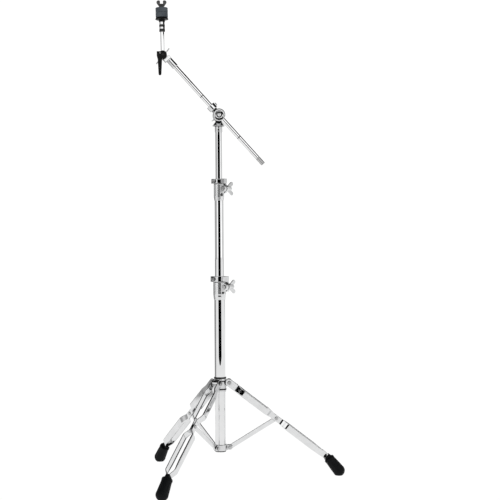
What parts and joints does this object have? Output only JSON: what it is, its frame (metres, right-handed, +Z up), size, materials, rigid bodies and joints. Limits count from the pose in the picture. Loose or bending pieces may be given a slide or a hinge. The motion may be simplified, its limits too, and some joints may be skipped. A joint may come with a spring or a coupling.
{
  "type": "cymbal boom stand",
  "caption": "Folding double-braced tripod with a telescopic chrome mast, tilting boom arm and felt-padded cymbal holder on a locking tilter.",
  "frame": {"origin": "mast axis at floor level, centre of the circle the three feet stand on", "axes": "+Z up the mast, +X along the leg under the low end of the boom, the boom in the plane of constant Y with its high end towards -X"},
  "size_m": [0.535, 0.6124, 1.3318],
  "materials": {
    "tube_chrome": "polished chrome plate on steel tube",
    "leg_chrome": "chrome plate on pressed steel strip",
    "cast_chrome": "chrome plate on die casting",
    "steel": "zinc plated screws and bolts",
    "rubber": "matte moulded rubber",
    "black_plastic": "satin black nylon",
    "nylon": "black nylon tube",
    "felt": "pressed grey-blue wool felt"
  },
  "bodies": {
    "mast": {"lower_tube": "tube_chrome", "tube_end_cap": "rubber", "brace_hub": "cast_chrome", "hub_pivot_bolts": "steel", "lower_clamp": "cast_chrome", "lower_clamp_bushing": "black_plastic", "lower_clamp_bolt": "steel", "lower_clamp_rivet": "steel"},
    "collar": {"leg_collar": "cast_chrome", "collar_bushing": "black_plastic", "leg_pivot_bolts": "steel", "collar_lock_screw": "steel"},
    "right_leg": {"right_leg_strip_a": "leg_chrome", "right_leg_strip_b": "leg_chrome", "right_leg_rivets": "steel", "right_foot": "rubber"},
    "right_brace": {"right_brace": "leg_chrome"},
    "back_leg": {"back_leg_strip_a": "leg_chrome", "back_leg_strip_b": "leg_chrome", "back_leg_rivets": "steel", "back_foot": "rubber"},
    "back_brace": {"back_brace": "leg_chrome"},
    "left_leg": {"left_leg_strip_a": "leg_chrome", "left_leg_strip_b": "leg_chrome", "left_leg_rivets": "steel", "left_foot": "rubber"},
    "left_brace": {"left_brace": "leg_chrome"},
    "lower_wing_nut": {"lower_wing_nut": "cast_chrome"},
    "lower_lock": {"lower_memory_lock": "cast_chrome", "lower_lock_screw": "steel"},
    "middle": {"middle_tube": "tube_chrome", "upper_clamp": "cast_chrome", "upper_clamp_bushing": "black_plastic", "upper_clamp_bolt": "steel", "upper_clamp_rivet": "steel"},
    "upper_wing_nut": {"upper_wing_nut": "cast_chrome"},
    "upper_lock": {"upper_memory_lock": "cast_chrome", "upper_lock_screw": "steel"},
    "upper": {"upper_tube": "tube_chrome", "tilter_base": "cast_chrome"},
    "tilter": {"tilter_head": "cast_chrome", "ratchet_disc": "cast_chrome", "tilter_stud": "tube_chrome", "tilter_front_cap": "cast_chrome", "boom_clamp_ring": "cast_chrome", "boom_key_screw": "steel"},
    "tilter_wing_nut": {"tilter_wing_nut": "cast_chrome"},
    "boom": {"boom_tube": "tube_chrome", "boom_end_grip": "cast_chrome"},
    "fork": {"cymbal_tilter_fork": "cast_chrome"},
    "wing_bolt": {"tilter_wing_bolt": "steel"},
    "lever": {"tilter_lever": "black_plastic"},
    "cymbal_rod": {"cymbal_rod": "tube_chrome", "seat_sleeve": "cast_chrome", "seat_cup": "black_plastic", "cymbal_sleeve": "nylon", "lower_felt": "felt", "upper_felt": "felt"},
    "cymbal_wing_nut": {"cymbal_wing_nut": "cast_chrome"}
  },
  "joints": [
    {"name": "collar_slide", "type": "slide", "parent": "mast", "child": "collar", "axis": [0, 0, 1], "range_m": [0, 0.13401]},
    {"name": "right_leg_fold", "type": "hinge", "parent": "collar", "child": "right_leg", "pos_m": [0.025, 0, 0.267], "axis": [0, 1, 0], "range_deg": [0, 42.25]},
    {"name": "right_brace_fold", "type": "hinge", "parent": "mast", "child": "right_brace", "pos_m": [0.0266, 0, 0.086], "axis": [0, -1, 0], "range_deg": [0, 48.76]},
    {"name": "back_leg_fold", "type": "hinge", "parent": "collar", "child": "back_leg", "pos_m": [-0.0125, 0.02165, 0.267], "axis": [-0.866, -0.5, 0], "range_deg": [0, 42.25]},
    {"name": "back_brace_fold", "type": "hinge", "parent": "mast", "child": "back_brace", "pos_m": [-0.0133, 0.02304, 0.086], "axis": [0.866, 0.5, 0], "range_deg": [0, 48.76]},
    {"name": "left_leg_fold", "type": "hinge", "parent": "collar", "child": "left_leg", "pos_m": [-0.0125, -0.02165, 0.267], "axis": [0.866, -0.5, 0], "range_deg": [0, 42.25]},
    {"name": "left_brace_fold", "type": "hinge", "parent": "mast", "child": "left_brace", "pos_m": [-0.0133, -0.02304, 0.086], "axis": [-0.866, 0.5, 0], "range_deg": [0, 48.76]},
    {"name": "lower_wing_spin", "type": "hinge", "parent": "mast", "child": "lower_wing_nut", "pos_m": [0.03253, -0.00424, 0.5355], "axis": [0.7071, 0.7071, 0], "continuous": true},
    {"name": "lower_swivel", "type": "hinge", "parent": "mast", "child": "lower_lock", "pos_m": [0, 0, 0.549], "axis": [0, 0, 1], "continuous": true},
    {"name": "lower_height", "type": "slide", "parent": "lower_lock", "child": "middle", "axis": [0, 0, 1], "range_m": [-0.205, 0.13]},
    {"name": "upper_wing_spin", "type": "hinge", "parent": "middle", "child": "upper_wing_nut", "pos_m": [0.02934, -0.00106, 0.8105], "axis": [0.7071, 0.7071, 0], "continuous": true},
    {"name": "upper_swivel", "type": "hinge", "parent": "middle", "child": "upper_lock", "pos_m": [0, 0, 0.824], "axis": [0, 0, 1], "continuous": true},
    {"name": "upper_height", "type": "slide", "parent": "upper_lock", "child": "upper", "axis": [0, 0, 1], "range_m": [-0.125, 0.115]},
    {"name": "boom_tilt", "type": "hinge", "parent": "upper", "child": "tilter", "pos_m": [0, 0, 1.014], "axis": [0, 1, 0], "range_deg": [-90, 42]},
    {"name": "tilter_wing_spin", "type": "hinge", "parent": "tilter", "child": "tilter_wing_nut", "pos_m": [0, 0.016, 1.014], "axis": [0, 1, 0], "continuous": true},
    {"name": "boom_slide", "type": "slide", "parent": "tilter", "child": "boom", "axis": [-0.6691, 0, 0.7431], "range_m": [-0.12, 0.12]},
    {"name": "boom_roll", "type": "hinge", "parent": "boom", "child": "fork", "pos_m": [-0.12713, -0.025, 1.1552], "axis": [-0.6691, 0, 0.7431], "continuous": true},
    {"name": "cymbal_tilt", "type": "hinge", "parent": "fork", "child": "cymbal_rod", "pos_m": [-0.15503, -0.025, 1.17893], "axis": [0, 1, 0], "range_deg": [-100, 65]},
    {"name": "wing_bolt_spin", "type": "hinge", "parent": "fork", "child": "wing_bolt", "pos_m": [-0.15503, -0.025, 1.17893], "axis": [0, 1, 0], "continuous": true},
    {"name": "lever_turn", "type": "hinge", "parent": "fork", "child": "lever", "pos_m": [-0.15503, -0.025, 1.17893], "axis": [0, 1, 0], "continuous": true},
    {"name": "cymbal_wing_spin", "type": "hinge", "parent": "cymbal_rod", "child": "cymbal_wing_nut", "pos_m": [-0.15744, -0.025, 1.31691], "axis": [-0.0175, 0, 0.9998], "continuous": true}
  ],
  "couplings": [
    {"joint": "right_leg_fold", "follows": "collar_slide", "rad_per_m": 5.496},
    {"joint": "right_brace_fold", "follows": "collar_slide", "rad_per_m": 6.3445},
    {"joint": "back_leg_fold", "follows": "collar_slide", "rad_per_m": 5.496},
    {"joint": "back_brace_fold", "follows": "collar_slide", "rad_per_m": 6.3445},
    {"joint": "left_leg_fold", "follows": "collar_slide", "rad_per_m": 5.496},
    {"joint": "left_brace_fold", "follows": "collar_slide", "rad_per_m": 6.3445}
  ]
}
